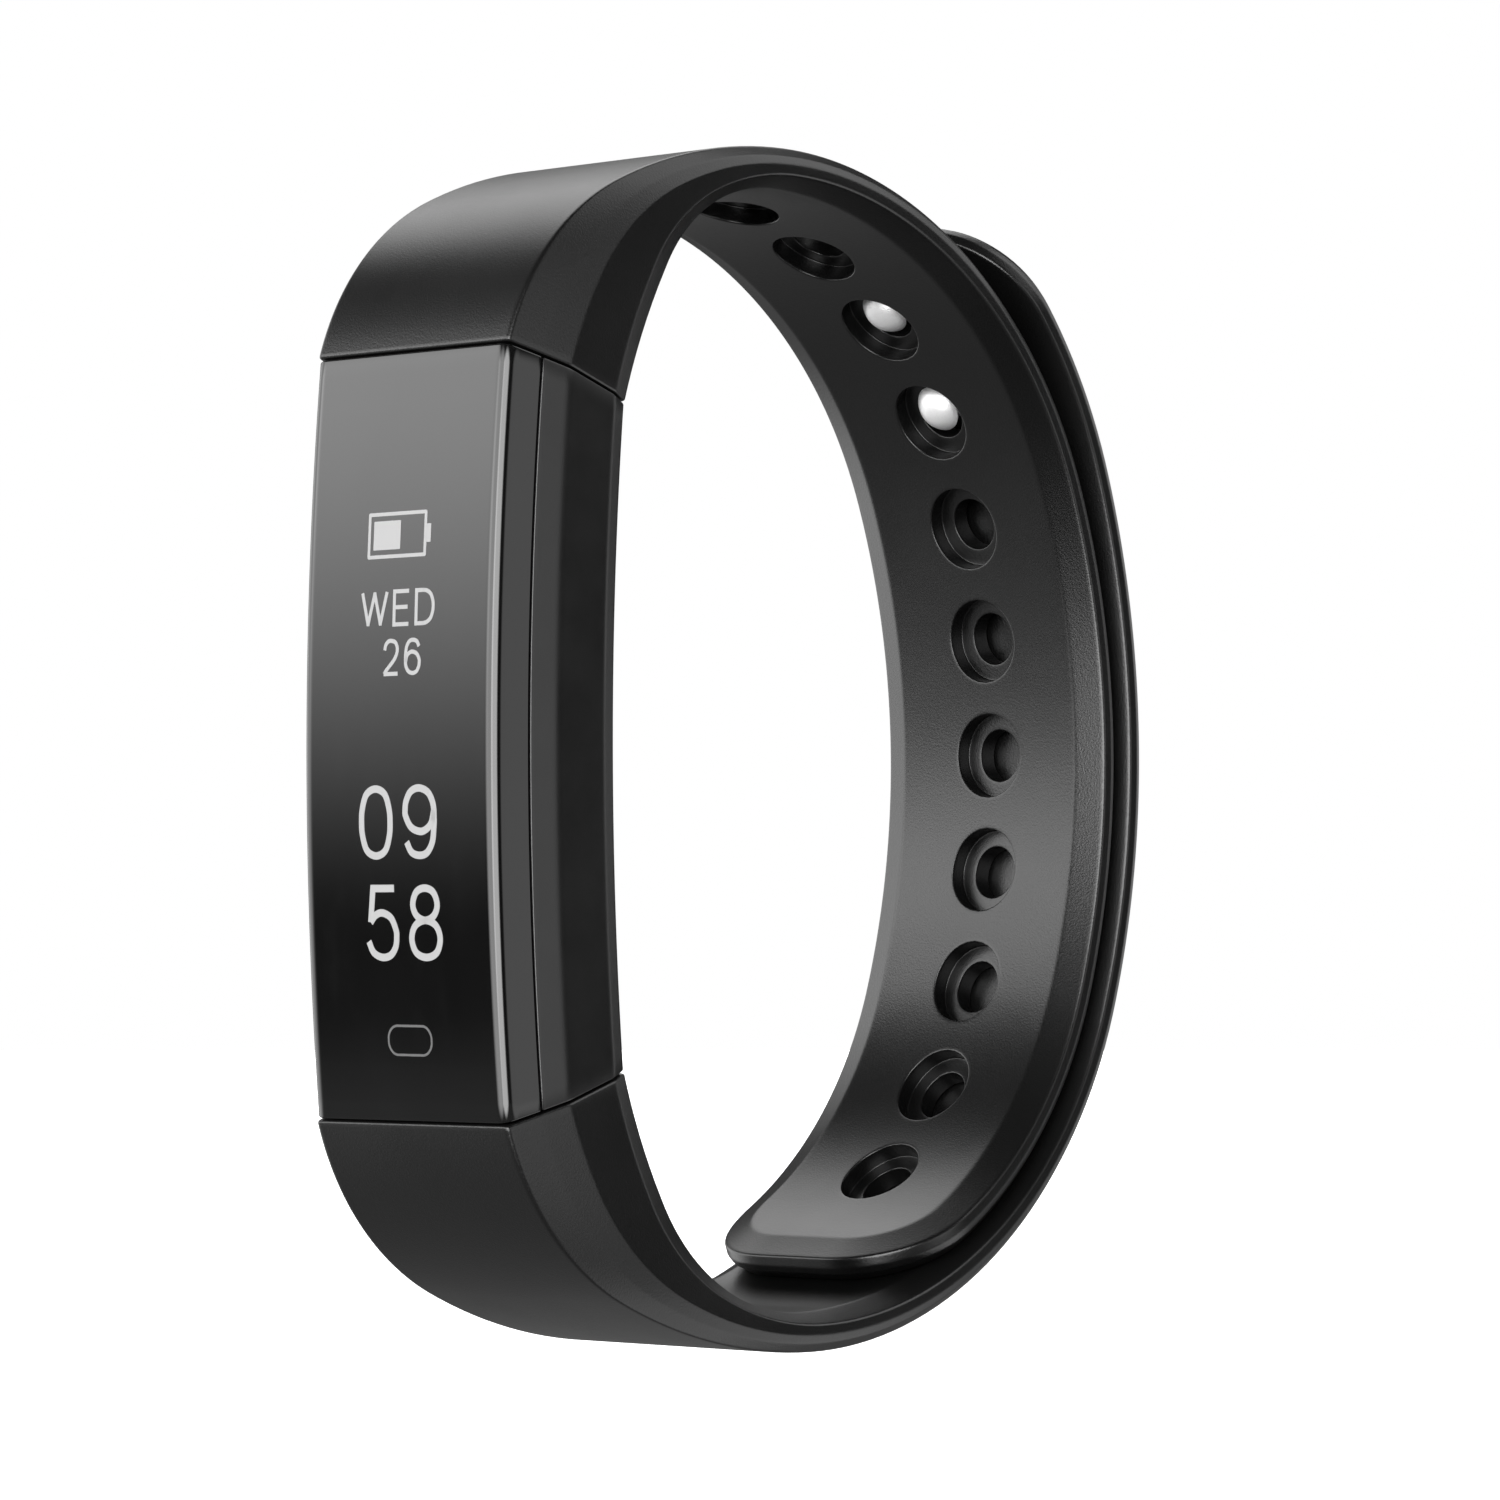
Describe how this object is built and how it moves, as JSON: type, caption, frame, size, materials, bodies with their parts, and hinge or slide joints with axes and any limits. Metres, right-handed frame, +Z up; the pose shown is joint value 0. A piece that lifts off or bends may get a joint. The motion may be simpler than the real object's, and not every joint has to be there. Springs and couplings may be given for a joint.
{
  "type": "fitness tracker band",
  "caption": "Slim wrist fitness tracker: a display module in a soft black loop band, closed by pegs in a row of holes, with a plug-in charging tongue under one strap.",
  "frame": {"origin": "centre of the wrist opening", "axes": "+X across the band, -Y out of the display, +Z up along the display towards the hole strap"},
  "size_m": [0.017, 0.0524, 0.0668],
  "materials": {
    "lens_black": "polished",
    "shell_black": "satin",
    "strap_black": "matte",
    "seal_grey": "matte",
    "panel_black": "polished",
    "flex_amber": "satin",
    "contact_gold": "polished",
    "chassis_white": "satin",
    "board_green": "satin",
    "chip_black": "matte",
    "cell_silver": "satin",
    "foam_grey": "matte",
    "steel": "satin",
    "weight_grey": "satin",
    "peg_silver": "polished"
  },
  "bodies": {
    "tracker": {"display_lens": "lens_black", "lens_gasket": "seal_grey", "oled_panel": "panel_black", "display_flex": "flex_amber", "touch_pad": "contact_gold", "module_shell": "shell_black", "chassis": "chassis_white", "chassis_screws": "steel", "main_board": "board_green", "radio_chip": "chip_black", "motion_chip": "chip_black", "charge_chip": "chip_black", "antenna": "contact_gold", "battery": "cell_silver", "battery_pad": "foam_grey", "motor_can": "steel", "charging_tongue": "board_green", "charging_contacts": "contact_gold", "plain_tongue": "shell_black", "upper_seal": "seal_grey", "lower_seal": "seal_grey", "hole_strap_bend": "strap_black", "hole_strap_top": "strap_black", "hole_strap_latch": "strap_black", "hole_strap_tail": "strap_black", "peg_strap_bend": "strap_black", "peg_strap_back": "strap_black", "peg_strap_flex": "strap_black"},
    "upper_sleeve": {"hole_strap_sleeve": "strap_black"},
    "lower_sleeve": {"peg_strap_sleeve": "strap_black"},
    "clasp_tip": {"peg_strap_tip": "strap_black", "peg_plate": "steel", "clasp_pegs": "peg_silver"},
    "motor_rotor": {"motor_shaft": "steel", "motor_weight": "weight_grey"}
  },
  "joints": [
    {"name": "upper_sleeve_pull", "type": "slide", "parent": "tracker", "child": "upper_sleeve", "axis": [0, 0.2924, 0.9563], "range_m": [0, 0.011], "deforming": ["hole_strap_bend"]},
    {"name": "lower_sleeve_pull", "type": "slide", "parent": "tracker", "child": "lower_sleeve", "axis": [0, 0.2924, -0.9563], "range_m": [0, 0.009], "deforming": ["peg_strap_bend"]},
    {"name": "clasp_peel", "type": "hinge", "parent": "tracker", "child": "clasp_tip", "pos_m": [0, 0.02213, 0.00721], "axis": [-1, 0, 0], "range_deg": [0, 50], "stiffness_Nm_per_rad": 0.01, "deforming": ["peg_strap_flex", "hole_strap_latch"]},
    {"name": "motor_spin", "type": "hinge", "parent": "tracker", "child": "motor_rotor", "pos_m": [0, -0.0221, -0.0112], "axis": [1, 0, 0], "continuous": true}
  ]
}
